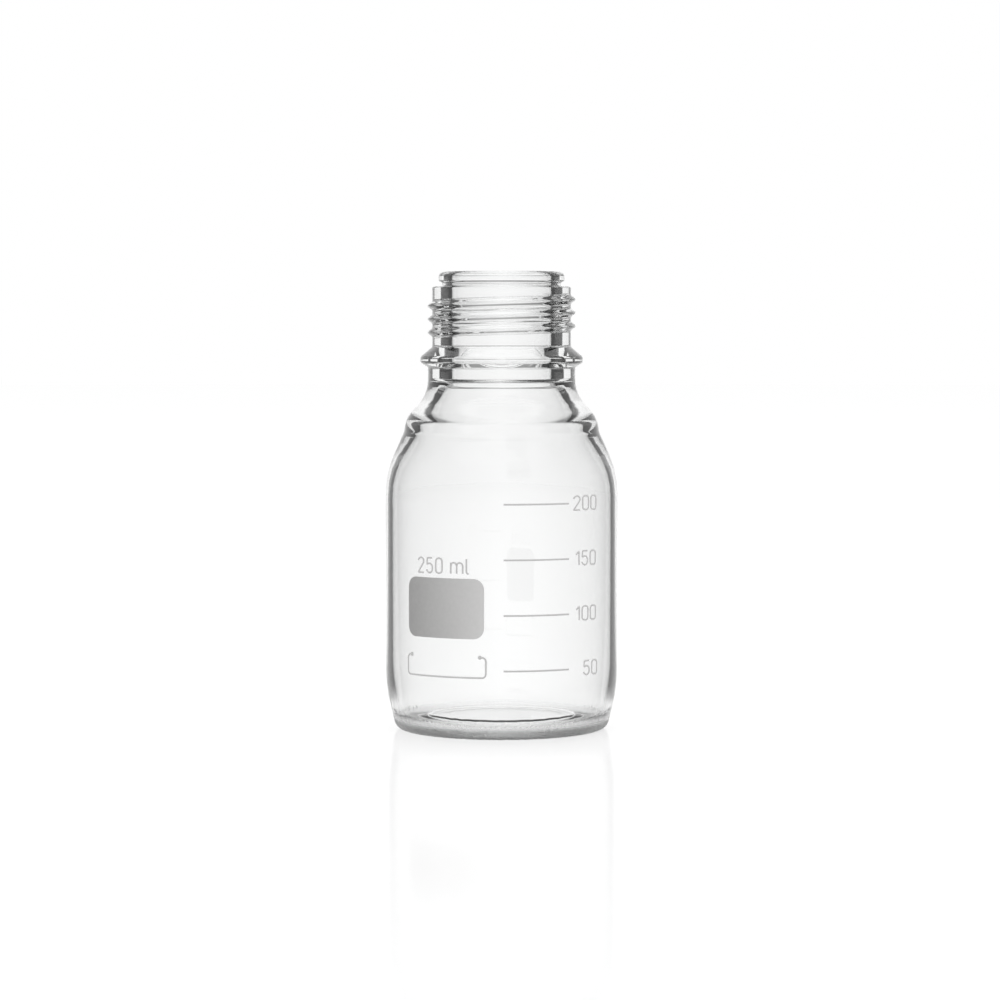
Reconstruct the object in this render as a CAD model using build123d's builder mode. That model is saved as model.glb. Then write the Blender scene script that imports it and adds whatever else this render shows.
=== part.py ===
"""Laboratory media bottle, 250 ml, clear borosilicate glass with a 45 mm screw neck.

The bottle is one blown piece: a wall of glass turned about the Z axis, with the screw ridge round its neck.
Three patches of fired enamel lie on it: a field to write on, four volume lines and an open frame.
Millimetres and degrees. The origin is the centre of the standing ring, +Z is up, and the front faces -Y.
"""

from build123d import *
from math import acos, atan, ceil, cos, degrees, radians, sin, tan
import os

# ---- Driving dimensions ------------------------------------------------------------------------------------

HEIGHT = 138.0                # from the standing ring to the lip

# Lengths down the bottle, each from the one before
LIP_BAND = 2.8                # bead round the lip
BEAD_SLOPE = 0.5              # drop of the bead's underside
GROOVE_BAND = 1.2             # groove that a pouring ring snaps into
CORE_LENGTH = 18.1            # neck that carries the screw ridge
FLANGE_DEPTH = 6.15           # from the foot of the flange's upper face to the foot of its lower one
NECK_LENGTH = 7.85            # plain neck, to the bend where it opens into the shoulder
KNUCKLE_DROP = 7.6            # to the sharper bend of the shoulder
WAIST_DROP = 3.9              # to its hollow bend
SHOULDER_DROP = 12.5          # to the bend into the body
HEEL_RISE = 12.2              # height of the bend where the body starts to draw in to its foot

# Outer radii
LIP_R = 18.95
GROOVE_R = 17.9
CORE_R = 20.9
FLANGE_R = 24.5
NECK_R = 22.2
KNUCKLE_R = 29.0
WAIST_R = 29.4
BODY_R = 35.0
HEEL_R = 31.8                 # where the heel's slope would reach the standing surface
RING_R = 28.4                 # middle of the standing ring
RING_LAND = 2.0               # width of the ring that touches the surface
PUNT_R = 21.0                 # flat middle of the hollow under the base
FLANGE_RISE = 0.83            # slope of the flange's upper face: rise for each millimetre inwards
FLANGE_UNDER_RISE = 0.63      # slope of its lower face: rise for each millimetre outwards
VALLEY_R = 25.6               # inner edge of the valley in the floor, over the standing ring
FLOOR_R = 22.0                # raised middle of the floor

# Glass
BORE_R = 15.0                 # mouth
BORE_FOOT = 3.65              # from the foot of the flange's lower face to the end of the straight bore
BORE_STEP = 0.8               # small step that ends it
THROAT_R = 16.8               # foot of that step
THROAT_DROP = 6.0             # from there to the bend where the inside opens out
FLARE_R = 18.9                # at that bend
FLARE_DROP = 6.6              # from there to the inside of the knuckle
KNUCKLE_BORE_R = 25.2         # inside the knuckle
WAIST_BORE_R = 26.6           # inside the waist
WAIST_SAG = 1.3               # how far the bend inside the waist lies below the waist
BODY_WALL = 2.0
FOOT_BEND_RISE = 2.8          # bend inside the heel, above the outer one
BEVEL_TOP_R = 31.0            # bevel between the wall and the floor
BEVEL_FOOT_R = 28.3
BEVEL_RISE = 2.5
RING_WALL = 2.7               # over the standing ring
BASE_WALL = 2.6               # over the hollow under the base
PUNT_RISE = 1.9               # hollow under the base

# Rounding of the bends
LIP_ROUND = 1.65
MOUTH_ROUND = 0.9
FLANGE_TOP_ROUND = 1.3
FLANGE_EDGE_ROUND = 1.0
NECK_ROUND = 11.0
KNUCKLE_ROUND = 9.0
SHOULDER_ROUND = 28.0
BODY_FOOT_ROUND = 35.0
FLARE_ROUND = 18.0            # inside the neck
CHORD_DEPTH = 0.45            # roundings are turned as straight chords, at most this deep

# Screw ridge, right-handed
PITCH = 4.0
THREAD_R = 22.3               # over the crests
THREAD_TURNS = 2.5            # at full depth
THREAD_FADE = 0.15            # turn over which each end sinks into the neck
THREAD_START = 4.3            # crest at the lower end of the full ridge, above the foot of the flange
THREAD_START_AZ = 180.0       # direction of that end, from +X towards the back
RIDGE_FOOT = 2.8              # width of the ridge where it leaves the neck
RIDGE_WAIST = 1.5             # width where its flanks bend in towards the crest
RIDGE_WAIST_RISE = 0.85       # height of that line over the neck
RIDGE_CREST = 0.6             # width of the crest
ROOT_SINK = 0.4               # how far the ridge reaches into the neck's glass

# Enamel print. Directions are counted round the axis from the front, positive to the right
ENAMEL = 0.1
FRAME_SPAN = (-52.4, -7.2)
FRAME_RISE = 6.35             # from the bend of the heel to the frame's lower edge
FRAME_TALL = 6.5
FRAME_LINE = 0.5
FRAME_CORNER = 1.4
FRAME_STUB = 1.75             # what is left of the frame's open upper edge at each corner
FRAME_END_R = 0.6             # dot at the end of each stub
FIELD_SPAN = (-51.5, -8.45)
FIELD_GAP = 5.1               # from the frame to the writing field
FIELD_TALL = 17.7
FIELD_CORNER = 3.2
LINE_SPAN = (0.9, 34.4)
LINE_THICK = 0.55
LINE_DROP = 7.76              # from the bend of the shoulder to the 200 ml line
LINE_PITCH = 16.28            # 50 ml
LINE_COUNT = 4

# ---- Heights and slopes worked out from them ---------------------------------------------------------------

bead_z = HEIGHT - LIP_BAND
groove_z = bead_z - BEAD_SLOPE
ledge_z = groove_z - GROOVE_BAND
flange_foot_z = ledge_z - CORE_LENGTH
flange_edge_z = flange_foot_z - (FLANGE_R - CORE_R) * FLANGE_RISE
flange_under_z = flange_foot_z - FLANGE_DEPTH
flange_lower_z = flange_under_z + (FLANGE_R - NECK_R) * FLANGE_UNDER_RISE
neck_foot_z = flange_under_z - NECK_LENGTH
knuckle_z = neck_foot_z - KNUCKLE_DROP
waist_z = knuckle_z - WAIST_DROP
shoulder_z = waist_z - SHOULDER_DROP
floor_z = PUNT_RISE + BASE_WALL
frame_z = HEEL_RISE + FRAME_RISE
field_z = frame_z + FRAME_TALL + FIELD_GAP
line_heights = [shoulder_z - LINE_DROP - LINE_PITCH * k for k in range(LINE_COUNT)]
print_reach = BODY_R + 2 * ENAMEL  # past the enamel, from the axis

heel_slope = (BODY_R - HEEL_R) / HEEL_RISE

# The heel's arc runs from the edge of the standing ring to the slope above it
heel_turn = 90 - degrees(atan(heel_slope))
heel_round = (HEEL_R - RING_R - RING_LAND / 2) / tan(radians(heel_turn / 2))


# ---- The glass ---------------------------------------------------------------------------------------------

bore_foot_z = flange_under_z - BORE_FOOT
throat_z = bore_foot_z - BORE_STEP
flare_z = throat_z - THROAT_DROP

# Each bend of the wall's section: radius from the axis, height, and its rounding
outer_bends = (
    (PUNT_R, PUNT_RISE, 0),
    (RING_R - RING_LAND / 2, 0, 0),
    (HEEL_R, 0, heel_round),
    (BODY_R, HEEL_RISE, BODY_FOOT_ROUND),
    (BODY_R, shoulder_z, SHOULDER_ROUND),
    (WAIST_R, waist_z, 0),
    (KNUCKLE_R, knuckle_z, KNUCKLE_ROUND),
    (NECK_R, neck_foot_z, NECK_ROUND),
    (NECK_R, flange_under_z, 0),
    (FLANGE_R, flange_lower_z, FLANGE_EDGE_ROUND),
    (FLANGE_R, flange_edge_z, FLANGE_TOP_ROUND),
    (CORE_R, flange_foot_z, 0),
    (CORE_R, ledge_z, 0),
    (GROOVE_R, ledge_z, 0),
    (GROOVE_R, groove_z, 0),
    (LIP_R, bead_z, 0),
    (LIP_R, HEIGHT, LIP_ROUND),
)
inner_bends = (
    (BORE_R, HEIGHT, MOUTH_ROUND),
    (BORE_R, bore_foot_z, 0),
    (THROAT_R, throat_z, 0),
    (FLARE_R, flare_z, FLARE_ROUND),
    (KNUCKLE_BORE_R, flare_z - FLARE_DROP, 0),
    (WAIST_BORE_R, waist_z - WAIST_SAG, 0),
    (BODY_R - BODY_WALL, shoulder_z, SHOULDER_ROUND - BODY_WALL),
    (BODY_R - BODY_WALL, HEEL_RISE + FOOT_BEND_RISE, BODY_FOOT_ROUND),
    (BEVEL_TOP_R, RING_WALL + BEVEL_RISE, 0),
    (BEVEL_FOOT_R, RING_WALL, 0),
    (VALLEY_R, RING_WALL, 0),
    (FLOOR_R, floor_z, 0),
)
section_points = ((0, PUNT_RISE, 0), *outer_bends, *inner_bends, (0, floor_z, 0))


def turned(bends):
    """The corners of a section whose bends are rounded, each rounding as straight chords."""
    corners = [Vector(r, z) for r, z, rounding in bends]
    sides = [after - before for before, after in zip(corners, corners[1:])]
    turns = [0] + [radians(side.get_angle(ahead)) for side, ahead in zip(sides, sides[1:])] + [0]
    reaches = [rounding * tan(turn / 2) for (r, z, rounding), turn in zip(bends, turns)]
    # Neighbours that ask for more than the side between them share it
    shares = [side.length / max(side.length, near + far) for side, near, far in zip(sides, reaches, reaches[1:])]
    points = corners[:1]
    for corner, side, ahead, turn, reach, share, share_ahead in zip(
        corners[1:], sides, sides[1:], turns[1:], reaches[1:], shares, shares[1:]
    ):
        reach *= min(share, share_ahead)
        if not reach:
            points.append(corner)
            continue
        radius = reach / tan(turn / 2)
        start, end = corner - side.normalized() * reach, corner + ahead.normalized() * reach
        centre = corner + (start + end - corner * 2).normalized() * (radius / cos(turn / 2))
        chords = ceil(turn / acos(1 - min(1, CHORD_DEPTH / radius)) / 2)
        for step in range(chords + 1):
            swing = turn * step / chords
            points.append(centre + ((start - centre) * sin(turn - swing) + (end - centre) * sin(swing)) / sin(turn))
    return points + corners[-1:]


def ridge_section(plane, share):
    """The screw ridge's section on a plane through the axis, with a share of its full height."""
    sunk = CORE_R - ROOT_SINK
    flank = (RIDGE_FOOT - RIDGE_WAIST) / 2 / RIDGE_WAIST_RISE
    corners = (
        (0, RIDGE_FOOT / 2 + ROOT_SINK * flank),
        (ROOT_SINK + RIDGE_WAIST_RISE, RIDGE_WAIST / 2),
        (ROOT_SINK + THREAD_R - CORE_R, RIDGE_CREST / 2),
    )
    upper = [(sunk + rise * share, half) for rise, half in corners]
    lower = [(r, -half) for r, half in reversed(upper)]
    with BuildSketch(plane) as section:
        with BuildLine():
            Polyline(*upper, *lower, close=True)
        make_face()
    return section.sketch.face()


# The ridge at full depth, with its lower end on +X at height 0
with BuildPart() as full_ridge:
    with BuildLine() as full_path:
        Helix(PITCH, PITCH * THREAD_TURNS, CORE_R)
    sweep(sections=ridge_section(Plane.XZ, 1.0), path=full_path.line, is_frenet=True)

# One end, which sinks into the neck as it climbs on from +X
fade_rise = PITCH * THREAD_FADE
fade_end = Plane(Location((0, 0, fade_rise), (0, 0, 360 * THREAD_FADE)) * Plane.XZ.location)
sunk_share = ROOT_SINK / (THREAD_R - CORE_R + ROOT_SINK) / 2
with BuildPart() as ridge_end:
    with BuildLine() as fade_path:
        Helix(PITCH, fade_rise, CORE_R)
    sweep(
        sections=[ridge_section(Plane.XZ, 1.0), ridge_section(fade_end, sunk_share)],
        path=fade_path.line,
        multisection=True,
        is_frenet=True,
    )

thread_start_z = flange_foot_z + THREAD_START
thread_end_z = thread_start_z + PITCH * THREAD_TURNS
thread_end_az = THREAD_START_AZ + 360 * THREAD_TURNS

with BuildPart() as glass_body:
    with BuildSketch(Plane.XZ):
        with BuildLine():
            Polyline(*turned(section_points), close=True)
        make_face()
    revolve(axis=Axis.Z)
    with Locations(Location((0, 0, thread_start_z), (0, 0, THREAD_START_AZ))):
        add(full_ridge.part)
    with Locations(Location((0, 0, thread_end_z), (0, 0, thread_end_az))):
        add(ridge_end.part)
    # Half a turn about X makes the same end run downwards, still right-handed
    with Locations(Location((0, 0, thread_start_z), (0, 0, THREAD_START_AZ)) * Location((0, 0, 0), (180, 0, 0))):
        add(ridge_end.part)


# ---- The enamel --------------------------------------------------------------------------------------------


# A skin over the body, from which each print is cut
with BuildPart() as enamel_skin:
    with BuildSketch(Plane.XZ):
        with Locations((BODY_R, HEEL_RISE)):
            Rectangle(ENAMEL, shoulder_z - HEEL_RISE, align=(Align.MIN, Align.MIN))
    revolve(axis=Axis.Z)


def facing(span):
    """Upright plane through the axis that faces the middle of a span of directions."""
    turn = radians(sum(span) / 2)
    return Plane(origin=(0, 0, 0), x_dir=(cos(turn), sin(turn), 0), z_dir=(sin(turn), -cos(turn), 0))


def width(span):
    """How wide a span of directions on the body is, seen square on."""
    return 2 * BODY_R * sin(radians(span[1] - span[0]) / 2)


with BuildPart() as writing_field:
    add(enamel_skin.part)
    with BuildSketch(facing(FIELD_SPAN)):
        with Locations((0, field_z + FIELD_TALL / 2)):
            RectangleRounded(width(FIELD_SPAN), FIELD_TALL, FIELD_CORNER)
    extrude(amount=print_reach, mode=Mode.INTERSECT)

with BuildPart() as graduation_lines:
    add(enamel_skin.part)
    with BuildSketch(facing(LINE_SPAN)):
        with Locations([(0, line_z) for line_z in line_heights]):
            Rectangle(width(LINE_SPAN), LINE_THICK)
    extrude(amount=print_reach, mode=Mode.INTERSECT)

frame_width = width(FRAME_SPAN)
end_x, end_z = frame_width / 2 - FRAME_STUB, frame_z + FRAME_TALL - FRAME_LINE / 2
with BuildPart() as code_frame:
    add(enamel_skin.part)
    with BuildSketch(facing(FRAME_SPAN)):
        with Locations((0, frame_z + FRAME_TALL / 2)):
            RectangleRounded(frame_width, FRAME_TALL, FRAME_CORNER)
            RectangleRounded(
                frame_width - 2 * FRAME_LINE,
                FRAME_TALL - 2 * FRAME_LINE,
                FRAME_CORNER - FRAME_LINE,
                mode=Mode.SUBTRACT,
            )
        with Locations((0, end_z)):
            Rectangle(2 * end_x, 2 * FRAME_LINE, mode=Mode.SUBTRACT)
        with Locations((-end_x, end_z), (end_x, end_z)):
            Circle(FRAME_END_R)
    extrude(amount=print_reach, mode=Mode.INTERSECT)

os.makedirs("parts", exist_ok=True)
glass_body.part.label = "glass_body"
export_step(glass_body.part, "parts/glass_body.step")
writing_field.part.label = "writing_field"
export_step(writing_field.part, "parts/writing_field.step")
graduation_lines.part.label = "graduation_lines"
export_step(graduation_lines.part, "parts/graduation_lines.step")
code_frame.part.label = "code_frame"
export_step(code_frame.part, "parts/code_frame.step")
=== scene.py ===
"""Looks of a round 250 ml laboratory bottle of blown glass with a 45 mm screw neck and an enamel print.

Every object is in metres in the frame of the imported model: the origin is the centre of the standing
ring, +Z is up and the printed front faces -Y. Sizes in the classes are millimetres and degrees, as on
a glassmaker's drawing, unless a class says otherwise.
"""

from __future__ import annotations

import logging
import math
from collections.abc import Callable
from dataclasses import dataclass, field
from enum import Enum

import bmesh
import bpy
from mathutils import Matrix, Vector

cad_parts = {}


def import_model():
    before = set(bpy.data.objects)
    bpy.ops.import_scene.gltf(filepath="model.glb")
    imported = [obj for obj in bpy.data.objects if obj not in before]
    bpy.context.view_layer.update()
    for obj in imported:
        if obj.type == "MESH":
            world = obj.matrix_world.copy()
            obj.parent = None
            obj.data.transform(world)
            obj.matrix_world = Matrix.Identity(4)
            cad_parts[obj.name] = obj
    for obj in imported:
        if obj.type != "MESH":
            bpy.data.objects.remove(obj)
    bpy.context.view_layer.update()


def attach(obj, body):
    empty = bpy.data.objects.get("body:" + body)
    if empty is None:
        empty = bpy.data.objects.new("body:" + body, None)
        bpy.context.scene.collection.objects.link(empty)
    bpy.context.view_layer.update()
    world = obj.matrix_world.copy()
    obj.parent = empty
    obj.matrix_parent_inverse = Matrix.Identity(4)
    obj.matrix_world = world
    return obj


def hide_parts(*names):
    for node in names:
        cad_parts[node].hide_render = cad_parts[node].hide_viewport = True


LOG = logging.getLogger("bottle")
MM = 0.001
ROOT = "root"
TINY = 1e-6
MERGE_DISTANCE = 1e-7

Span = tuple[float, float]
Point2 = tuple[float, float]
Stroke = list[Point2]
Colour = tuple[float, float, float]
Place = tuple[float, float, float]
Tree = bpy.types.NodeTree
Node = bpy.types.Node
Socket = bpy.types.NodeSocket
Material = bpy.types.Material
Object = bpy.types.Object
Mesh = bpy.types.Mesh

WHITE: Colour = (1.0, 1.0, 1.0)


# ---- Nodes ----


def arithmetic(operation: str, reflected: bool = False) -> Callable[[Signal, Signal | float], Signal]:
    """Makes an operator of Signal.

    Args:
        operation: the Math node's operation.
        reflected: whether the other value comes first.

    Returns:
        The method, which takes one other number or signal.
    """

    def method(self: Signal, other: Signal | float) -> Signal:
        """Adds the Math node."""
        return self.math(operation, first=other) if reflected else self.math(operation, other)

    return method


class Signal:
    """A number on a node socket. Python's arithmetic on it adds Math nodes."""

    def __init__(self, graph: Graph, socket: Socket) -> None:
        """Wraps one output socket of the graph."""
        self.graph = graph
        self.socket = socket

    def math(
        self, operation: str, *others: Signal | float, first: Signal | float | None = None
    ) -> Signal:
        """Adds a Math node.

        Args:
            operation: the Math node's operation.
            others: what follows this signal in its inputs.
            first: what goes before this signal, for the reflected operators.

        Returns:
            The node's result.
        """
        values = ([] if first is None else [first]) + [self, *others]
        return self.graph.signal("ShaderNodeMath", {"operation": operation}, dict(enumerate(values)))

    __add__ = arithmetic("ADD")
    __radd__ = arithmetic("ADD", reflected=True)
    __sub__ = arithmetic("SUBTRACT")
    __rsub__ = arithmetic("SUBTRACT", reflected=True)
    __mul__ = arithmetic("MULTIPLY")
    __rmul__ = arithmetic("MULTIPLY", reflected=True)
    __truediv__ = arithmetic("DIVIDE")
    __rtruediv__ = arithmetic("DIVIDE", reflected=True)
    __gt__ = arithmetic("GREATER_THAN")
    least = arithmetic("MINIMUM")
    most = arithmetic("MAXIMUM")

    def absolute(self) -> Signal:
        """This without its sign."""
        return self.math("ABSOLUTE")

    def rise(self, start: Signal | float, end: Signal | float) -> Signal:
        """A smooth step from 0 where this is at start to 1 where it is at end."""
        settings = {"interpolation_type": "SMOOTHSTEP", "clamp": True}
        inputs = {"Value": self, "From Min": start, "From Max": end, "To Min": 0.0, "To Max": 1.0}
        return self.graph.signal("ShaderNodeMapRange", settings, inputs)


class Graph:
    """A node tree under construction."""

    def __init__(self, tree: Tree) -> None:
        """Takes an empty or emptied node tree."""
        self.tree = tree

    def node(self, kind: str, settings: dict | None = None, inputs: dict | None = None) -> Node:
        """Adds one node.

        Args:
            kind: the node's type.
            settings: attributes such as an operation, which are set first.
            inputs: values, signals or sockets, by the input's name or number.

        Returns:
            The new node.
        """
        made = self.tree.nodes.new(kind)
        for name, value in (settings or {}).items():
            setattr(made, name, value)
        for key, value in (inputs or {}).items():
            if isinstance(value, Signal):
                value = value.socket
            if isinstance(value, Socket):
                self.tree.links.new(value, made.inputs[key])
            else:
                made.inputs[key].default_value = value
        return made

    def signal(self, kind: str, settings: dict | None = None, inputs: dict | None = None) -> Signal:
        """Adds one node and returns its first output as a number."""
        return Signal(self, self.node(kind, settings, inputs).outputs[0])

    def noise(self, place: Socket, scale: float, detail: float, roughness: float = 0.5) -> Signal:
        """Adds a noise.

        Args:
            place: where it is read.
            scale: waves in a metre.
            detail: how many finer waves ride on them.
            roughness: how strong those are.

        Returns:
            The noise, 0.5 on average.
        """
        inputs = {"Vector": place, "Scale": scale, "Detail": detail, "Roughness": roughness}
        return self.signal("ShaderNodeTexNoise", None, inputs)

    def axes(self, vector: Socket) -> tuple[Signal, Signal, Signal]:
        """The three parts of a vector."""
        made = self.node("ShaderNodeSeparateXYZ", None, {0: vector})
        return tuple(Signal(self, made.outputs[k]) for k in range(3))

    def blend(self, share: Signal | float, low: object, high: object) -> Socket:
        """Mixes two colours or colour sockets: a share of 0 gives the low one and 1 the high one."""
        inputs = {0: share, 6: self.rgba(low), 7: self.rgba(high)}
        return self.node("ShaderNodeMix", {"data_type": "RGBA"}, inputs).outputs[2]

    def bump(self, height: Signal, strength: float, depth: float) -> Socket:
        """Adds a bump whose full height is a depth in millimetres, and returns its normal."""
        inputs = {"Strength": strength, "Distance": depth * MM, "Height": height}
        return self.node("ShaderNodeBump", None, inputs).outputs[0]

    def glow(self, strength: float) -> Socket:
        """Adds a white emission of one strength."""
        inputs = {"Color": self.rgba(WHITE), "Strength": strength}
        return self.node("ShaderNodeEmission", None, inputs).outputs[0]

    def mix(self, share: Signal | float, low: Socket, high: Socket) -> Socket:
        """Mixes two shaders: a share of 0 gives the low one and 1 the high one."""
        return self.node("ShaderNodeMixShader", None, {0: share, 1: low, 2: high}).outputs[0]

    @staticmethod
    def rgba(colour: object) -> object:
        """A colour with its fourth part, or the socket that was given."""
        return (*colour, 1.0) if isinstance(colour, tuple) and len(colour) == 3 else colour


def new_material(name: str) -> tuple[Material, Graph, Socket]:
    """Makes a node material.

    Args:
        name: the material's name.

    Returns:
        The material, its graph and the place on the piece, which its patterns read.
    """
    material = bpy.data.materials.new(name)
    material.use_nodes = True
    material.node_tree.nodes.clear()
    graph = Graph(material.node_tree)
    return material, graph, graph.node("ShaderNodeTexCoord").outputs["Object"]


def new_piece(name: str, data: bpy.types.ID) -> Object:
    """Makes an object of a mesh, a curve, a lamp or a lens and puts it in the scene."""
    made = bpy.data.objects.new(name, data)
    bpy.context.scene.collection.objects.link(made)
    return made


def face_outwards(mesh: Mesh, merge: bool = False) -> None:
    """Points the faces of a closed mesh outwards.

    Args:
        mesh: the mesh to mend.
        merge: whether points at one place become one first.
    """
    built = bmesh.new()
    built.from_mesh(mesh)
    if merge:
        bmesh.ops.remove_doubles(built, verts=built.verts, dist=MERGE_DISTANCE)
    bmesh.ops.recalc_face_normals(built, faces=built.faces)
    built.to_mesh(mesh)
    built.free()


def linear(value: float) -> float:
    """The linear light of a display value from 0 to 1."""
    return value / 12.92 if value <= 0.04045 else ((value + 0.055) / 1.055) ** 2.4


def grey(level: float, warmth: float = 0.0) -> Colour:
    """A grey of a display level from 0 to 255, a little warmer in red and cooler in blue."""
    return linear((level + warmth) / 255), linear(level / 255), linear((level - warmth) / 255)


# ---- Finishes ----


@dataclass(frozen=True)
class BlownGlass:
    """Clear borosilicate glass, a little cordy, as blown glass is."""

    ior: float = 1.473
    tint: Colour = (0.80, 0.86, 0.84)
    tint_density: float = 2.2
    clear: Colour = (0.975, 0.977, 0.976)
    cord_scale: float = 45.0
    cord_strength: float = 0.012
    cord_depth: float = 2.0
    grain_height: Span = (2.0, 5.0)
    grain_radius: Span = (24.0, 26.5)
    grain_roughness: float = 0.5

    def material(self) -> Material:
        """Builds the glass, which is dull only on the stippled ring that it stands on."""
        material, graph, place = new_material("borosilicate_glass")
        cords = graph.noise(place, self.cord_scale, detail=1.0, roughness=0.4)
        x, y, z = graph.axes(place)
        ring = (x * x + y * y).math("SQRT").rise(*(radius * MM for radius in self.grain_radius))
        grained = ring * (1.0 - z.rise(*(height * MM for height in self.grain_height)))
        ripple = graph.bump(cords, self.cord_strength, self.cord_depth)
        glass = graph.node(
            "ShaderNodeBsdfPrincipled",
            None,
            {
                "Base Color": graph.rgba(self.clear),
                "Roughness": grained * self.grain_roughness,
                "IOR": self.ior,
                "Transmission Weight": 1.0,
                "Normal": ripple,
            },
        )
        dye = {"Color": graph.rgba(self.tint), "Density": self.tint_density}
        depth = graph.node("ShaderNodeVolumeAbsorption", None, dye)
        ends = {"Surface": glass.outputs[0], "Volume": depth.outputs[0]}
        graph.node("ShaderNodeOutputMaterial", None, ends)
        return material


@dataclass(frozen=True)
class FiredEnamel:
    """Grey ceramic print, satin, a little uneven where it was squeezed through the screen.

    It turns from dark to light between start and end, two places across the front, 0 being the middle:
    painted shading, darker on the left.
    """

    name: str
    dark: Colour
    light: Colour
    start: float
    end: float
    roughness: float = 0.38
    grain_scale: float = 900.0
    grain_colour: float = 0.16
    grain_roughness: float = 0.12
    grain_strength: float = 0.15
    grain_depth: float = 0.1
    cloud_scale: float = 120.0
    cloud_colour: float = 0.1

    def material(self) -> Material:
        """Builds the enamel."""
        material, graph, place = new_material(self.name)
        across = graph.axes(place)[0]
        grain = graph.noise(place, self.grain_scale, detail=3.0)
        cloud = graph.noise(place, self.cloud_scale, detail=2.0)
        # painted shading: the print is darker towards the left of the front and lighter towards the
        # right
        side_shading = (across - self.start * MM) / ((self.end - self.start) * MM)
        patches = (cloud - 0.5) * self.cloud_colour
        specks = (grain - 0.5) * self.grain_colour
        share = side_shading.most(0.0).least(1.0) + patches + specks
        enamel = graph.node(
            "ShaderNodeBsdfPrincipled",
            None,
            {
                "Base Color": graph.blend(share, self.dark, self.light),
                "Roughness": self.roughness + (grain - 0.5) * self.grain_roughness,
                "Normal": graph.bump(grain, self.grain_strength, self.grain_depth),
            },
        )
        graph.node("ShaderNodeOutputMaterial", None, {"Surface": enamel.outputs[0]})
        return material


@dataclass(frozen=True)
class Flags:
    """Dark flags on either side of the bare back of the surround, which thin out to the front.

    Attributes:
        edge: where a flag begins and is full, counted from the back.
        fade: where it is gone and is full, counted from a spot near the front.
        lean: how far that spot is turned from the front.
    """

    edge: Span = (17.0, 22.0)
    fade: Span = (0.0, 105.0)
    lean: float = 17.0

    def share(self, x: Signal, y: Signal) -> Signal:
        """How dark the flags are in a direction round the bottle.

        Args:
            x: the direction's part to the right.
            y: the direction's part to the back.

        Returns:
            0 where the surround is bare and 1 where a flag is full.
        """
        way = x.math("ARCTAN2", y) * (180 / math.pi)
        from_front = ((way - self.lean).math("FLOORED_MODULO", 360.0) - 180.0).absolute()
        return way.absolute().rise(*self.edge) * from_front.rise(*self.fade)


@dataclass(frozen=True)
class WhiteBoard:
    """Polished white table board that mirrors a little of what stands on it."""

    colour: Colour = (0.90, 0.90, 0.90)
    cloud: Colour = (0.92, 0.92, 0.92)
    cloud_scale: float = 60.0
    glow: float = 0.75
    glow_strength: float = 1.10
    mirror: float = 0.2
    mirror_roughness: float = 0.12
    flags: Flags = field(default_factory=Flags)
    flag_reach: Span = (50.0, 80.0)
    flag_strength: float = 0.02

    def material(self) -> Material:
        """Builds the board.

        It glows where it is looked at, so that it meets the white backdrop, and is as dark as the flags
        over it for light that is turned inside the glass wall.
        """
        material, graph, place = new_material("white_board")
        cloudy = graph.blend(graph.noise(place, self.cloud_scale, detail=2.0), self.colour, self.cloud)
        light_path = graph.node("ShaderNodeLightPath")
        seen = self._seen(graph, light_path)
        board = graph.node("ShaderNodeBsdfDiffuse", None, {"Color": cloudy}).outputs[0]
        lit = graph.mix(seen * self.glow, board, graph.glow(self.glow_strength))
        polish = {"Color": graph.rgba(WHITE), "Roughness": self.mirror_roughness}
        clean = graph.mix(self.mirror, lit, graph.node("ShaderNodeBsdfGlossy", None, polish).outputs[0])
        x, y, _ = graph.axes(place)
        reach = (x * x + y * y).math("SQRT").rise(*(radius * MM for radius in self.flag_reach))
        mirrored, through = (
            Signal(graph, light_path.outputs[name]) > 0.5
            for name in ("Glossy Depth", "Transmission Depth")
        )
        flagged = self.flags.share(x, y) * mirrored * through * reach
        whole = graph.mix(flagged, clean, graph.glow(self.flag_strength))
        graph.node("ShaderNodeOutputMaterial", None, {"Surface": whole})
        return material

    @staticmethod
    def _seen(graph: Graph, light_path: Node) -> Signal:
        """1 for a ray by which the board is looked at: straight, mirrored or through glass."""
        camera, glossy, through = (
            Signal(graph, light_path.outputs[name])
            for name in ("Is Camera Ray", "Is Glossy Ray", "Is Transmission Ray")
        )
        return camera.most(glossy).most(through)


# ---- The wall of the bottle ----


class Zone(Enum):
    """What a stretch of the wall carries."""

    PLAIN = "plain"
    SCREW = "screw"
    STIPPLE = "stipple"


@dataclass(frozen=True)
class Bend:
    """A corner of the wall's section.

    Attributes:
        radius: distance from the axis.
        height: over the standing surface.
        rounding: radius of the rounding, 0 for none.
        zone: what the stretch that starts here carries.
    """

    radius: float
    height: float
    rounding: float = 0.0
    zone: Zone = Zone.PLAIN


Row = tuple[float, float, Zone]


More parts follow.
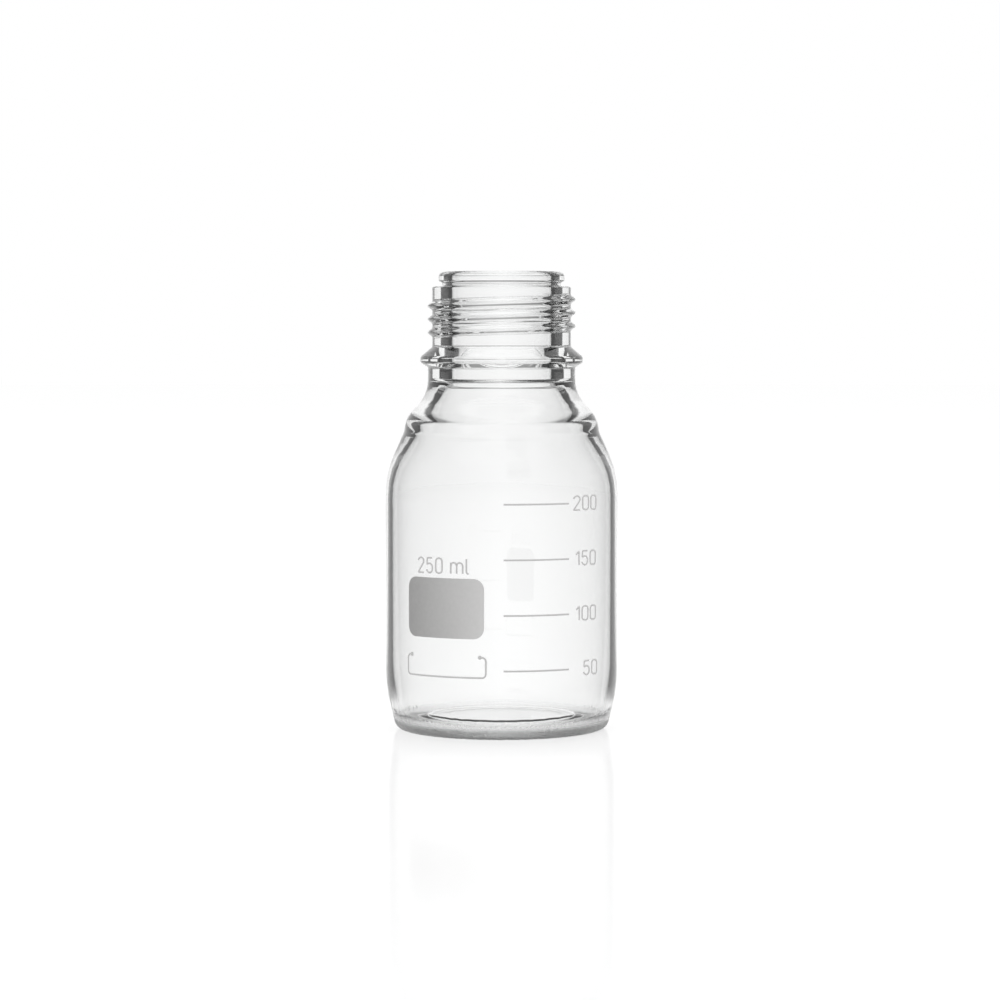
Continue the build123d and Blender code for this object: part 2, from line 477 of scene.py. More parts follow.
@dataclass
class WallSection:
    """The section of the blown wall, from the hollow under the base up the outside and down the inside.

    Attributes:
        rim_inside: radius under which the rim counts as the inside.
        screw_band: heights between which the outside carries the screw ridge.
        arc_step: the widest turn from row to row in a rounding.
        zone_step: the widest step from row to row in each zone.
    """

    height: float = 138.0
    lip_radius: float = 18.95
    groove_radius: float = 17.9
    core_radius: float = 20.9
    flange_radius: float = 24.5
    neck_radius: float = 22.2
    knuckle_radius: float = 29.0
    waist_radius: float = 29.4
    body_radius: float = 35.0
    heel_radius: float = 31.8
    bore_radius: float = 15.0
    body_wall: float = 2.0
    rim_inside: float = 16.0
    screw_band: Span = (116.2, 133.0)
    arc_step: float = 9.0
    zone_step: dict[Zone, float] = field(
        default_factory=lambda: {Zone.PLAIN: 4.0, Zone.SCREW: 0.32, Zone.STIPPLE: 0.42}
    )

    def bends(self) -> list[Bend]:
        """The corners in order, the first and the last on the axis."""
        inner = self.body_radius - self.body_wall
        return [
            Bend(0.0, 1.9),
            Bend(21.0, 1.9, 12.0),
            Bend(27.4, 0.0, 2.0, Zone.STIPPLE),
            Bend(self.heel_radius, 0.0, 3.1, Zone.STIPPLE),
            Bend(33.0, 4.6, 0.0, Zone.PLAIN),
            Bend(self.body_radius, 12.2, 50.0),
            Bend(self.body_radius, 77.4, 28.0),
            Bend(self.waist_radius, 89.9, 3.0),
            Bend(self.knuckle_radius, 93.8, 9.0),
            Bend(self.neck_radius, 101.4, 11.0),
            Bend(self.neck_radius, 109.25, 0.6),
            Bend(self.flange_radius, 110.7, 1.0),
            Bend(self.flange_radius, 112.41, 1.3),
            Bend(self.core_radius, 115.4, 0.9, Zone.SCREW),
            Bend(self.core_radius, 133.5, 0.5),
            Bend(self.groove_radius, 133.5, 0.4),
            Bend(self.groove_radius, 134.7, 0.4),
            Bend(self.lip_radius, 135.2, 0.5),
            Bend(self.lip_radius, self.height, 1.65),
            Bend(self.bore_radius, self.height, 0.9),
            Bend(self.bore_radius, 105.6, 0.4),
            Bend(16.8, 104.8, 0.8),
            Bend(18.9, 98.8, 18.0),
            Bend(25.2, 92.2, 3.0),
            Bend(26.6, 88.6, 4.0),
            Bend(inner, 77.4, 26.0),
            Bend(inner, 15.0, 50.0),
            Bend(31.0, 5.2, 7.0),
            Bend(28.3, 2.7, 2.5),
            Bend(25.6, 2.7, 2.5),
            Bend(22.0, 4.5, 1.2),
            Bend(0.0, 4.5),
        ]

    def rows(self) -> list[Row]:
        """Points along the section, close together where it turns or carries something.

        Returns:
            Radius, height and zone of each row, the first and the last on the axis.
        """
        bends = self.bends()
        corners = [Vector((bend.radius, bend.height)) for bend in bends]
        rows = [(corners[0].x, corners[0].y, bends[0].zone)]
        last = corners[0]
        turning = zip(corners, corners[1:], corners[2:], bends, bends[1:])
        for before, corner, after, bend_before, bend in turning:
            into, out = (corner - before).normalized(), (after - corner).normalized()
            turn = into.angle(out)
            reach = bend.rounding * math.tan(turn / 2)
            start, end = corner - into * reach, corner + out * reach
            rows += self._straight(last, start, bend_before.zone)
            if reach:
                rows += self._arc(start, end, corner, turn, bend, bend_before.zone)
            last = end
        rows += self._straight(last, corners[-1], bends[-2].zone)
        return rows

    def _straight(self, start: Vector, end: Vector, zone: Zone) -> list[Row]:
        """Rows of a straight stretch, without its first point."""
        length = (end - start).length
        if length < TINY:
            return []
        count = max(1, math.ceil(length / self.zone_step[zone]))
        return [(*start.lerp(end, k / count), zone) for k in range(1, count + 1)]

    def _arc(
        self, start: Vector, end: Vector, corner: Vector, turn: float, bend: Bend, zone_before: Zone
    ) -> list[Row]:
        """Rows of a rounding, without its first point."""
        middle = (start + end) / 2
        centre = corner + (middle - corner).normalized() * (bend.rounding / math.cos(turn / 2))
        count = max(3, math.ceil(math.degrees(turn) / self.arc_step))
        if Zone.STIPPLE in (bend.zone, zone_before):
            count = max(count, math.ceil(bend.rounding * turn / self.zone_step[Zone.STIPPLE]))
        rows = []
        for k in range(1, count + 1):
            swing = turn * k / count
            arm = (start - centre) * math.sin(turn - swing) + (end - centre) * math.sin(swing)
            point = centre + arm / math.sin(turn)
            rows.append((point.x, point.y, zone_before if k < count / 2 else bend.zone))
        return rows


@dataclass
class ScrewRidge:
    """Right-handed screw ridge of the neck.

    Attributes:
        fade: how many turns each end takes to sink in.
    """

    pitch: float = 4.0
    turns: float = 2.5
    fade: float = 0.15
    start_height: float = 119.7
    start_angle: float = 180.0
    crest: float = 1.4
    half_width: float = 1.55


@dataclass
class BaseStipple:
    """Knurled dots of the standing ring and the heel.

    Attributes:
        unevenness: 0 for rows of dots, 1 for dots strewn at random.
        reach: where a dot ends, as a share of the spacing.
    """

    spacing: float = 1.15
    depth: float = 0.16
    unevenness: float = 0.55
    reach: float = 0.62


@dataclass
class GlassBottle:
    """The bottle, blown in one piece.

    Attributes:
        sides: points round a ring of the wall.
        fine_share: how many times as many points a ring of the stipple has.
        waviness: how much the inside swims, from crest to hollow at most.
        wave_scale: how many of its waves there are in a metre.
    """

    section: WallSection = field(default_factory=WallSection)
    ridge: ScrewRidge = field(default_factory=ScrewRidge)
    stipple: BaseStipple = field(default_factory=BaseStipple)
    glass: BlownGlass = field(default_factory=BlownGlass)
    sides: int = 280
    fine_share: int = 3
    waviness: float = 0.035
    wave_scale: float = 38.0

    def build(self) -> Object:
        """Makes the bottle's mesh, raises the screw ridge, sinks the stipple, and dresses it.

        Returns:
            The finished bottle, riding on the root body in place of its solid.
        """
        bottle = self._turned_wall()
        self._shape(bottle, self.glass.material())
        for polygon in bottle.data.polygons:
            polygon.use_smooth = True
        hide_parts("glass_body")
        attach(bottle, ROOT)
        return bottle

    def _turned_wall(self) -> Object:
        """Turns the section about the axis, with finer rings where the stipple is.

        Returns:
            The wall, with the shares of ridge and stipple stored on its points.
        """
        rows = self.section.rows()
        points: list[Place] = []
        faces: list[tuple[int, ...]] = []
        shares: dict[str, list[float]] = {"screw": [], "stipple": [], "wave": []}
        rings: list[tuple[int, int]] = []
        top = max(height for _, height, _ in rows)
        low, high = self.section.screw_band
        outside = True
        for radius, height, zone in rows:
            if outside and height >= top - TINY and radius < self.section.rim_inside:
                outside = False
            count = 1 if radius < TINY else self.sides * (self.fine_share if zone is Zone.STIPPLE else 1)
            rings.append((len(points), count))
            for k in range(count):
                angle = 2 * math.pi * k / count
                x, y = radius * MM * math.cos(angle), radius * MM * math.sin(angle)
                points.append((x, y, height * MM))
            shares["screw"] += [float(outside and low < height < high)] * count
            shares["stipple"] += [float(zone is Zone.STIPPLE)] * count
            shares["wave"] += [0.0 if outside else 1.0] * count
        for (first, count), (second, count_on) in zip(rings, rings[1:]):
            faces += self._band(first, count, second, count_on)
        mesh = bpy.data.meshes.new("bottle_glass")
        mesh.from_pydata(points, [], faces)
        for name, values in shares.items():
            mesh.attributes.new(name, "FLOAT", "POINT").data.foreach_set("value", values)
        face_outwards(mesh)
        return new_piece("bottle_glass", mesh)

    @staticmethod
    def _band(first: int, count: int, second: int, count_on: int) -> list[tuple[int, ...]]:
        """Faces between two rings of points.

        One ring may be a single point, or may have several points for each of the other's.

        Args:
            first: number of the first ring's first point.
            count: the first ring's points.
            second: number of the second ring's first point.
            count_on: the second ring's points.

        Returns:
            The faces, as point numbers.
        """
        coarse = min(count, count_on)
        if coarse == 1:
            many, centre = (count_on, first) if count == 1 else (count, second)
            ring = second if count == 1 else first
            return [(centre, ring + k, ring + (k + 1) % many) for k in range(many)]
        faces = []
        for k in range(coarse):
            sides = []
            for ring, number in ((first, count), (second, count_on)):
                share = number // coarse
                sides.append([ring + (k * share + step) % number for step in range(share + 1)])
            faces.append(tuple(sides[0] + sides[1][::-1]))
        return faces

    def _shape(self, bottle: Object, material: Material) -> None:
        """Raises the ridge and sinks the stipple by geometry nodes, and keeps the result as the mesh."""
        tree = bpy.data.node_groups.new("neck_and_base_relief", "GeometryNodeTree")
        sizes = {
            "Pitch": self.ridge.pitch * MM,
            "Turns": self.ridge.turns,
            "Fade": self.ridge.fade,
            "Start Height": self.ridge.start_height * MM,
            "Start Angle": math.radians(self.ridge.start_angle),
            "Crest": self.ridge.crest * MM,
            "Half Width": self.ridge.half_width * MM,
            "Dot Spacing": self.stipple.spacing * MM,
            "Dot Depth": self.stipple.depth * MM,
            "Dot Unevenness": self.stipple.unevenness,
            "Waviness": self.waviness * MM,
        }
        graph, source, given = open_geometry_tree(tree, list(sizes))
        place = graph.node("GeometryNodeInputPosition").outputs[0]
        ridge = self._ridge_offset(graph, place, given)
        relief = self._relief_offset(graph, place, given)
        offset = graph.node("ShaderNodeVectorMath", {"operation": "ADD"}, {0: ridge, 1: relief})
        shift = {"Geometry": source, "Offset": offset.outputs[0]}
        moved = graph.node("GeometryNodeSetPosition", None, shift)
        close_geometry_tree(graph, moved.outputs[0], material)
        bottle.data = run_geometry_tree(bottle, tree, sizes)
        bottle.data.name = bottle.name

    def _ridge_offset(self, graph: Graph, place: Socket, given: dict[str, Signal]) -> Socket:
        """How far each point moves out for the screw ridge.

        Args:
            graph: the geometry tree.
            place: the point's place.
            given: the tree's numbers by name.

        Returns:
            The offset.
        """
        x, y, z = graph.axes(place)
        angle = y.math("ARCTAN2", x)
        turn_share = ((angle - given["Start Angle"]) / (2 * math.pi)).math("FRACT")
        climb = (z - given["Start Height"]) / given["Pitch"]
        turn = (climb - turn_share).math("ROUND") + turn_share
        off = ((climb - turn) * given["Pitch"]).absolute() / given["Half Width"]
        swell = (off.least(1.0) * math.pi).math("COSINE") * 0.5 + 0.5
        fade_in = turn.rise(0.0 - given["Fade"], 0.0)
        fade_out = 1.0 - turn.rise(given["Turns"], given["Turns"] + given["Fade"])
        height = swell * fade_in * fade_out * given["Crest"] * self._share(graph, "screw")
        radial = {0: angle.math("COSINE"), 1: angle.math("SINE"), 2: 0.0}
        lift = {0: graph.node("ShaderNodeCombineXYZ", None, radial).outputs[0], "Scale": height}
        return graph.node("ShaderNodeVectorMath", {"operation": "SCALE"}, lift).outputs[0]

    def _relief_offset(self, graph: Graph, place: Socket, given: dict[str, Signal]) -> Socket:
        """How far each point moves along its normal for the stipple and for the swim of the inside.

        Args:
            graph: the geometry tree.
            place: the point's place.
            given: the tree's numbers by name.

        Returns:
            The offset.
        """
        strewn = {
            "Vector": place,
            "Scale": 1.0 / given["Dot Spacing"],
            "Randomness": given["Dot Unevenness"],
        }
        dot = 1.0 - graph.signal("ShaderNodeTexVoronoi", None, strewn).rise(0.0, self.stipple.reach)
        sunk = dot * given["Dot Depth"] * self._share(graph, "stipple")
        swim = graph.noise(place, self.wave_scale, detail=1.0, roughness=0.3)
        wave = (swim - 0.5) * given["Waviness"] * self._share(graph, "wave")
        lift = {0: graph.node("GeometryNodeInputNormal").outputs[0], "Scale": wave - sunk}
        return graph.node("ShaderNodeVectorMath", {"operation": "SCALE"}, lift).outputs[0]

    @staticmethod
    def _share(graph: Graph, name: str) -> Signal:
        """A share that is stored on the wall's points."""
        return graph.signal("GeometryNodeInputNamedAttribute", {"data_type": "FLOAT"}, {0: name})


def open_geometry_tree(tree: Tree, names: list[str]) -> tuple[Graph, Socket, dict[str, Signal]]:
    """Starts a geometry tree with a geometry input and named numbers.

    Args:
        tree: the new tree.
        names: the numbers that the tree takes.

    Returns:
        The graph, the geometry that comes in, and the numbers by name.
    """
    tree.interface.new_socket("Geometry", in_out="INPUT", socket_type="NodeSocketGeometry")
    for name in names:
        tree.interface.new_socket(name, in_out="INPUT", socket_type="NodeSocketFloat")
    tree.interface.new_socket("Geometry", in_out="OUTPUT", socket_type="NodeSocketGeometry")
    graph = Graph(tree)
    entry = graph.node("NodeGroupInput")
    return graph, entry.outputs["Geometry"], {name: Signal(graph, entry.outputs[name]) for name in names}


def close_geometry_tree(graph: Graph, geometry: Socket, material: Material) -> None:
    """Ends a geometry tree in real geometry with its material."""
    real = graph.node("GeometryNodeRealizeInstances", None, {0: geometry}).outputs[0]
    dressed = graph.node("GeometryNodeSetMaterial", None, {"Geometry": real, "Material": material})
    graph.node("NodeGroupOutput", None, {0: dressed.outputs[0]})


def run_geometry_tree(piece: Object, tree: Tree, sizes: dict[str, float]) -> Mesh:
    """Lets a geometry tree work on a piece, once.

    Args:
        piece: a mesh or curve object, which itself stays as it is.
        tree: the finished tree.
        sizes: the tree's numbers by name.

    Returns:
        The result as a plain mesh.
    """
    modifier = piece.modifiers.new(tree.name, "NODES")
    modifier.node_group = tree
    for item in tree.interface.items_tree:
        if item.in_out == "INPUT" and item.name in sizes:
            modifier[item.identifier] = sizes[item.name]
    bpy.context.view_layer.update()
    depsgraph = bpy.context.evaluated_depsgraph_get()
    result = bpy.data.meshes.new_from_object(piece.evaluated_get(depsgraph), depsgraph=depsgraph)
    piece.modifiers.remove(modifier)
    return result


# ---- The print ----


def arc(cx: float, cy: float, rx: float, ry: float, start: float, end: float, count: int = 6) -> Stroke:
    """Draws an elliptical arc.

    Args:
        cx, cy: the centre, across and up.
        rx, ry: the radius, across and up.
        start, end: directions of its ends, in degrees counted anticlockwise from the right.
        count: how many pieces it is cut into.

    Returns:
        The arc's points.
    """
    turns = [math.radians(start + (end - start) * k / count) for k in range(count + 1)]
    return [(cx + rx * math.cos(turn), cy + ry * math.sin(turn)) for turn in turns]


@dataclass(frozen=True)
class Lettering:
    """Narrow single-stroke letters in a box one unit high.

    Attributes:
        figure: width of the figures 0, 2 and 5.
        corner: radius of the rounding of a 0.
        gap: space between two letters.
        space: width of a blank.
    """

    figure: float = 0.6
    corner: float = 0.22
    gap: float = 0.26
    space: float = 0.4

    def glyph(self, letter: str) -> tuple[float, list[Stroke]]:
        """The width and strokes of one letter."""
        w, r = self.figure, self.corner
        ring = arc(r, 1 - r, r, r, 180, 90) + arc(w - r, 1 - r, r, r, 90, 0)
        ring += arc(w - r, r, r, r, 0, -90) + arc(r, r, r, r, -90, -180) + [(0.0, 1 - r)]
        bowl = arc(w / 2 - 0.01, 0.32, w / 2, 0.32, 122, -160, 14)
        left_arch = arc(0.215, 0.5, 0.215, 0.24, 170, 0, 8)
        right_arch = arc(0.645, 0.5, 0.215, 0.24, 170, 0, 8)
        shapes: dict[str, tuple[float, list[Stroke]]] = {
            "0": (w, [ring]),
            "1": (0.3, [[(0.0, 0.76), (0.28, 1.0), (0.28, 0.0)]]),
            "2": (w, [arc(w / 2, 0.76, w / 2, 0.24, 172, -20, 12) + [(0.0, 0.0), (w, 0.0)]]),
            "5": (w, [[(w - 0.04, 1.0), (0.07, 1.0), (0.03, 0.56), *bowl]]),
            "m": (
                0.86,
                [
                    [(0.0, 0.0), (0.0, 0.74)],
                    [(0.0, 0.55), *left_arch, (0.43, 0.0)],
                    [(0.43, 0.5), *right_arch, (0.86, 0.0)],
                ],
            ),
            "l": (0.16, [[(0.0, 1.0), (0.0, 0.16), *arc(0.16, 0.16, 0.16, 0.16, 180, 270, 5)]]),
        }
        return shapes[letter]

    def line(self, words: str, left: float, foot: float, height: float) -> list[Stroke]:
        """Strokes of a line of letters.

        Args:
            words: the letters, with spaces.
            left: where the line starts.
            foot: the height that it stands on.
            height: how tall its figures are.

        Returns:
            The strokes in the same units.
        """
        strokes = []
        for letter in words:
            if letter == " ":
                left += self.space * height
                continue
            width, shapes = self.glyph(letter)
            strokes += [[(left + u * height, foot + v * height) for u, v in shape] for shape in shapes]
            left += (width + self.gap) * height
        return strokes

    def length(self, words: str, height: float) -> float:
        """How long a line of letters is."""
        parts = [self.space if letter == " " else self.glyph(letter)[0] + self.gap for letter in words]
        return (sum(parts) - self.gap) * height


@dataclass
class EnamelPrint:
    """The fired print on the body: a field to write on, volume lines, their numbers and a frame.

    Spans, starts and ends are directions round the body from the front. Heights are over the ground.

    Attributes:
        lift: gap between the glass and the print.
        step: the longest piece of a stroke.
        strip: the widest strip of the writing field.
        corner_steps: strips in a rounded end of the field.
        number_drop: how far a number's foot is under its line.
        frame_stub: how far the frame's open ends reach in.
    """

    body_radius: float = 35.0
    thickness: float = 0.06
    lift: float = 0.012
    stroke: float = 0.5
    step: float = 0.35
    field_span: Span = (-51.5, -8.45)
    field_height: Span = (30.15, 47.85)
    field_corner: float = 3.2
    strip: float = 0.8
    corner_steps: int = 10
    line_span: Span = (0.9, 34.4)
    line_heights: tuple[float, ...] = (20.8, 37.08, 53.36, 69.64)
    line_numbers: tuple[str, ...] = ("50", "100", "150", "200")
    number_ends: tuple[float, ...] = (53.6, 52.5, 52.3, 52.8)
    number_drop: float = 1.98
    number_height: float = 4.12
    frame_span: Span = (-52.4, -7.2)
    frame_height: Span = (18.55, 25.05)
    frame_corner: float = 1.4
    frame_stub: float = 1.75
    dot_radius: float = 0.62
    dot_sides: int = 20
    title: str = "250 ml"
    title_start: float = -44.5
    title_foot: float = 49.25
    title_height: float = 4.4
    number_letters: Lettering = field(default_factory=Lettering)
    title_letters: Lettering = field(default_factory=lambda: Lettering(figure=0.5))

    def build(self) -> list[Object]:
        """Makes the five printed pieces and dresses them.

        Returns:
            The writing field, the lines, their numbers, the title and the frame.
        """
        # both enamels carry painted shading, from their dark grey at the left to their light grey at the
        # right
        solid = FiredEnamel("enamel_field", grey(140, 0.5), grey(196, 0.5), -27.5, -6.0).material()
        thin = FiredEnamel("enamel_line", grey(186, 0.5), grey(204, 0.5), -26.0, 26.0).material()
        writing = self._writing_field(solid)
        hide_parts("writing_field")
        lines = self._ribbons("volume_lines", self._volume_lines(), thin)
        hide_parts("graduation_lines")
        frame = self._ribbons("open_frame", self._frame_strokes(), thin, self._frame_dots())
        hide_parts("code_frame")
        numbers = self._ribbons("volume_numbers", self._number_strokes(), thin)
        title = self._ribbons("volume_title", self._title_strokes(), thin)
        pieces = [writing, lines, numbers, title, frame]
        for piece in pieces:
            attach(piece, ROOT)
        return pieces

    def _along(self, degrees: float) -> float:
        """How far round the body a direction is from the front, in millimetres."""
        return math.radians(degrees) * self.body_radius

    def _volume_lines(self) -> list[Stroke]:
        """The strokes of the four lines."""
        start, end = (self._along(direction) for direction in self.line_span)
        return [[(start, height), (end, height)] for height in self.line_heights]

    def _number_strokes(self) -> list[Stroke]:
        """The strokes of the numbers, which end together at the right."""
        strokes = []
        for words, height, end in zip(self.line_numbers, self.line_heights, self.number_ends):
            left = self._along(end) - self.number_letters.length(words, self.number_height)
            foot = height - self.number_drop
            strokes += self.number_letters.line(words, left, foot, self.number_height)
        return strokes

    def _title_strokes(self) -> list[Stroke]:
        """The strokes of the capacity over the writing field."""
        left = self._along(self.title_start)
        return self.title_letters.line(self.title, left, self.title_foot, self.title_height)

    def _frame_strokes(self) -> list[Stroke]:
        """The stroke of the open frame, from dot to dot."""
        left, right = (self._along(direction) for direction in self.frame_span)
        half = self.stroke / 2
        left, right = left + half, right - half
        low, high = self.frame_height[0] + half, self.frame_height[1] - half
        c = self.frame_corner - half
        down = arc(left + c, high - c, c, c, 90, 180) + arc(left + c, low + c, c, c, 180, 270)
        up = arc(right - c, low + c, c, c, 270, 360) + arc(right - c, high - c, c, c, 0, 90)
        return [[(left + self.frame_stub, high), *down, *up, (right - self.frame_stub, high)]]

    def _frame_dots(self) -> tuple[Point2, ...]:
        """The centres of the dots at the frame's two ends."""
        left, right = (self._along(direction) for direction in self.frame_span)
        high = self.frame_height[1] - self.stroke / 2
        reach = self.frame_stub + self.stroke / 2
        return (left + reach, high), (right - reach, high)

    def _writing_field(self, material: Material) -> Object:
        """Makes the field as a closed thin shell of upright strips and bends it onto the body."""
        left, right = (self._along(direction) for direction in self.field_span)
        low, high = self.field_height
        corner = self.field_corner
        turns = [math.radians(90 * k / self.corner_steps) for k in range(self.corner_steps + 1)]
        stations = [corner - corner * math.cos(turn) for turn in turns]
        plain = max(2, math.ceil((right - left - 2 * corner) / self.strip))
        stations += [corner + (right - left - 2 * corner) * k / plain for k in range(1, plain)]
        stations += [right - left - corner + corner * math.sin(turn) for turn in turns]
        points, faces = [], []
        for station in stations:
            edge = min(station, right - left - station)
            off = max(0.0, corner - edge)
            inset = corner - math.sqrt(max(0.0, corner**2 - off**2))
            for level in (0.0, self.thickness):
                for height in (low + inset, high - inset):
                    points.append((left + station, level, height))
        last = 4 * (len(stations) - 1)
        for k in range(0, last, 4):
            faces += [(k + 2, k + 3, k + 7, k + 6), (k, k + 4, k + 5, k + 1)]
            faces += [(k + 1, k + 5, k + 7, k + 3), (k, k + 2, k + 6, k + 4)]
        faces += [(0, 1, 3, 2), (last, last + 2, last + 3, last + 1)]
        mesh = bpy.data.meshes.new("writing_panel")
        mesh.from_pydata(points, [], faces)
        for vertex in mesh.vertices:
            turn = vertex.co.x / self.body_radius
            radius = (self.body_radius + self.lift + vertex.co.y) * MM
            vertex.co = (radius * math.sin(turn), -radius * math.cos(turn), vertex.co.z * MM)
        face_outwards(mesh, merge=True)
        mesh.materials.append(material)
        return new_piece("writing_panel", mesh)

    def _ribbons(
        self, name: str, strokes: list[Stroke], material: Material, dots: tuple[Point2, ...] = ()
    ) -> Object:
        """Prints strokes as thin closed ribbons on the body.

        Args:
            name: the piece's name.
            strokes: the middle lines of the strokes, in millimetres round and up.
            material: the enamel.
            dots: centres of round dots that go with them.

        Returns:
            The finished piece.
        """
        sizes = {
            "Stroke": self.stroke * MM,
            "Thickness": self.thickness * MM,
            "Body Radius": (self.body_radius + self.lift) * MM,
            "Dot Radius": self.dot_radius * MM,
            "Step": self.step * MM,
        }
        path = self._path(name, strokes)
        mesh = run_geometry_tree(path, self._stroke_tree(list(sizes), material, dots), sizes)
        mesh.name = name
        bpy.data.objects.remove(path)
        face_outwards(mesh, merge=True)
        return new_piece(name, mesh)

    @staticmethod
    def _path(name: str, strokes: list[Stroke]) -> Object:
        """Draws strokes flat as a curve, across and up."""
        curve = bpy.data.curves.new(name + "_path", "CURVE")
        curve.dimensions = "3D"
        for stroke in strokes:
            spline = curve.splines.new("POLY")
            spline.points.add(len(stroke) - 1)
            for point, (across, up) in zip(spline.points, stroke):
                point.co = (across * MM, up * MM, 0.0, 1.0)
        return new_piece(name + "_path", curve)

    def _stroke_tree(self, names: list[str], material: Material, dots: tuple[Point2, ...]) -> Tree:
        """Builds the tree that lays a flat ribbon along each stroke and wraps it round the body.

        Args:
            names: the numbers that the tree takes.
            material: the enamel.
            dots: centres of round dots, in millimetres across and up.

        Returns:
            The tree.
        """
        tree = bpy.data.node_groups.new("printed_strokes", "GeometryNodeTree")
        graph, source, given = open_geometry_tree(tree, names)
        evenly = {"Curve": source, "Length": given["Step"]}
        fine = graph.node("GeometryNodeResampleCurve", {"mode": "LENGTH"}, evenly)
        flat = graph.node("GeometryNodeSetCurveNormal", {"mode": "Z_UP"}, {0: fine.outputs[0]})
        section = {"Width": given["Stroke"], "Height": given["Thickness"]}
        nib = graph.node("GeometryNodeCurvePrimitiveQuadrilateral", {"mode": "RECTANGLE"}, section)
        swept = {"Curve": flat.outputs[0], "Profile Curve": nib.outputs[0], "Fill Caps": True}
        ribbon = graph.node("GeometryNodeCurveToMesh", None, swept)
        joined = graph.node("GeometryNodeJoinGeometry", None, {0: ribbon.outputs[0]})
        disc = {"Vertices": self.dot_sides, "Radius": given["Dot Radius"], "Depth": given["Thickness"]}
        for across, up in dots:
            dot = graph.node("GeometryNodeMeshCylinder", {"fill_type": "NGON"}, disc)
            shift = {0: dot.outputs[0], "Translation": (across * MM, up * MM, 0.0)}
            placed = graph.node("GeometryNodeTransform", None, shift)
            graph.tree.links.new(placed.outputs[0], joined.inputs[0])
        across, up, out = graph.axes(graph.node("GeometryNodeInputPosition").outputs[0])
        radius = given["Body Radius"] + given["Thickness"] * 0.5 + out
        turn = across / given["Body Radius"]
        round_body = {0: radius * turn.math("SINE"), 1: 0.0 - radius * turn.math("COSINE"), 2: up}
        wrapped = graph.node("ShaderNodeCombineXYZ", None, round_body).outputs[0]
        bent = graph.node(
            "GeometryNodeSetPosition", None, {"Geometry": joined.outputs[0], "Position": wrapped}
        )
        close_geometry_tree(graph, bent.outputs[0], material)
        return tree


# ---- Studio ----


@dataclass(frozen=True)
class Softbox:
    """A wide soft lamp: its place and its size in metres, and its power in watts."""

    name: str
    place: Place
    size: float
    power: float
    aim: Place = (0.0, 0.0, 0.07)

    def build(self) -> None:
        """Hangs the lamp, turned to the bottle. It isn't seen in the glass."""
        light = bpy.data.lights.new(self.name, "AREA")
        light.shape = "RECTANGLE"
        light.size = light.size_y = self.size
        light.energy = self.power
        lamp = new_piece(self.name, light)
        lamp.location = self.place
        sight = Vector(self.aim) - Vector(self.place)
        lamp.rotation_euler = sight.to_track_quat("-Z", "Y").to_euler()
        lamp.visible_glossy = False
        lamp.visible_transmission = False


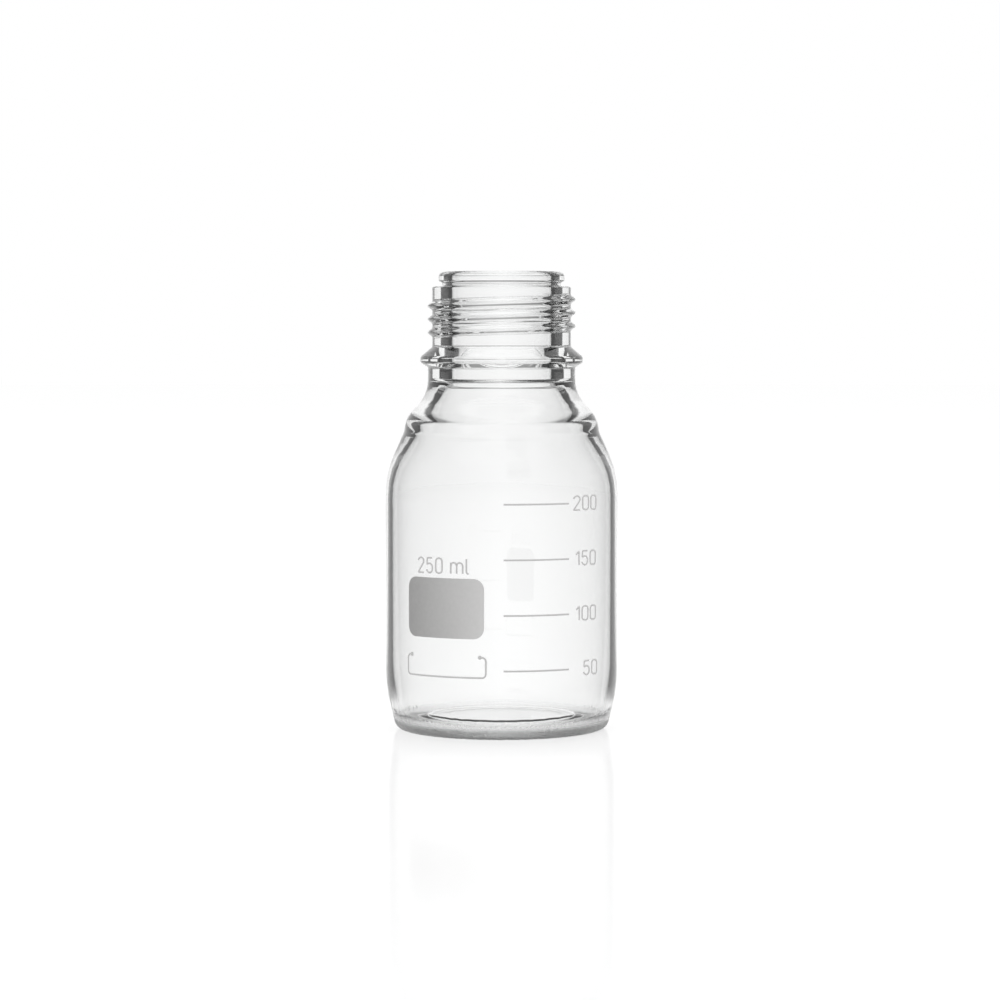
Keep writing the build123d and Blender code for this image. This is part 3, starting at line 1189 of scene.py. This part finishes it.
@dataclass
class Studio:
    """White table, white surround with dark flags for the glass, soft lamps and the camera.

    Attributes:
        ceiling: elevations between which the surround dims, as seen straight through the glass.
        ceiling_level: its brightness above them.
        flag_level: brightness of a full flag.
        surround_level: brightness of the surround as a source of light.
    """

    board: WhiteBoard = field(default_factory=WhiteBoard)
    lamps: tuple[Softbox, ...] = (
        Softbox("left_softbox", (-0.9, -0.7, 0.7), 0.8, 4.0),
        Softbox("top_softbox", (0.2, 0.1, 1.3), 1.0, 5.0),
    )
    table_radius: float = 6000.0
    table_sides: int = 96
    table_drop: float = 0.02
    camera_distance: float = 990.0
    camera_height: float = 121.4
    camera_side: float = -0.48
    camera_tilt: float = 3.02
    lens: float = 118.1
    sensor: float = 36.0
    ceiling: Span = (20.0, 32.0)
    ceiling_level: float = 0.3
    flag_level: float = 0.03
    surround_level: float = 0.78

    def build(self) -> None:
        """Builds the studio round the bottle."""
        self._table()
        self._surround()
        for lamp in self.lamps:
            lamp.build()
        self._camera()
        bpy.context.scene.view_settings.view_transform = "Standard"

    def _table(self) -> None:
        """A round white board under the bottle, a hair below the standing ring."""
        mesh = bpy.data.meshes.new("table")
        built = bmesh.new()
        bmesh.ops.create_circle(
            built, cap_ends=True, segments=self.table_sides, radius=self.table_radius * MM
        )
        built.to_mesh(mesh)
        built.free()
        mesh.materials.append(self.board.material())
        table = new_piece("table", mesh)
        table.location.z = -self.table_drop * MM

    def _surround(self) -> None:
        """The white surround.

        What is looked at straight is white. Light that is turned inside the glass wall meets the dark
        flags. For what is seen straight through the glass the surround is dimmer overhead, as in a tent.
        """
        world = bpy.data.worlds.new("studio")
        bpy.context.scene.world = world
        world.use_nodes = True
        world.node_tree.nodes.clear()
        graph = Graph(world.node_tree)
        x, y, z = graph.axes(graph.node("ShaderNodeTexCoord").outputs["Generated"])
        light_path = graph.node("ShaderNodeLightPath")
        scattered, mirrored, through = (
            Signal(graph, light_path.outputs[name]) > 0.5
            for name in ("Diffuse Depth", "Glossy Depth", "Transmission Depth")
        )
        elevation = z.math("ARCSINE") * (180 / math.pi)
        overhead = elevation.rise(*self.ceiling) * (1.0 - self.ceiling_level)
        flagged = self.board.flags.share(x, y) * (1.0 - self.flag_level)
        level = 1.0 - through * (mirrored * flagged + (1.0 - mirrored) * overhead)
        level = level * (1.0 - scattered) + scattered * self.surround_level
        background = graph.node(
            "ShaderNodeBackground", None, {"Color": graph.rgba(WHITE), "Strength": level}
        )
        graph.node("ShaderNodeOutputWorld", None, {"Surface": background.outputs[0]})

    def _camera(self) -> None:
        """A long lens in front of the print, a little above the middle and tilted down."""
        lens = bpy.data.cameras.new("camera")
        lens.lens = self.lens
        lens.sensor_width = self.sensor
        camera = new_piece("camera", lens)
        camera.location = (self.camera_side * MM, -self.camera_distance * MM, self.camera_height * MM)
        camera.rotation_euler = (math.radians(90 - self.camera_tilt), 0.0, 0.0)
        bpy.context.scene.camera = camera


def main() -> None:
    """Loads the frame, builds the bottle, its print and the studio."""
    logging.basicConfig(level=logging.INFO, format="%(name)s: %(message)s")
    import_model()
    bottle = GlassBottle().build()
    LOG.info("%s: %d faces", bottle.name, len(bottle.data.polygons))
    for piece in EnamelPrint().build():
        LOG.info("%s: %d faces", piece.name, len(piece.data.polygons))
    Studio().build()


if __name__ == "__main__":
    main()
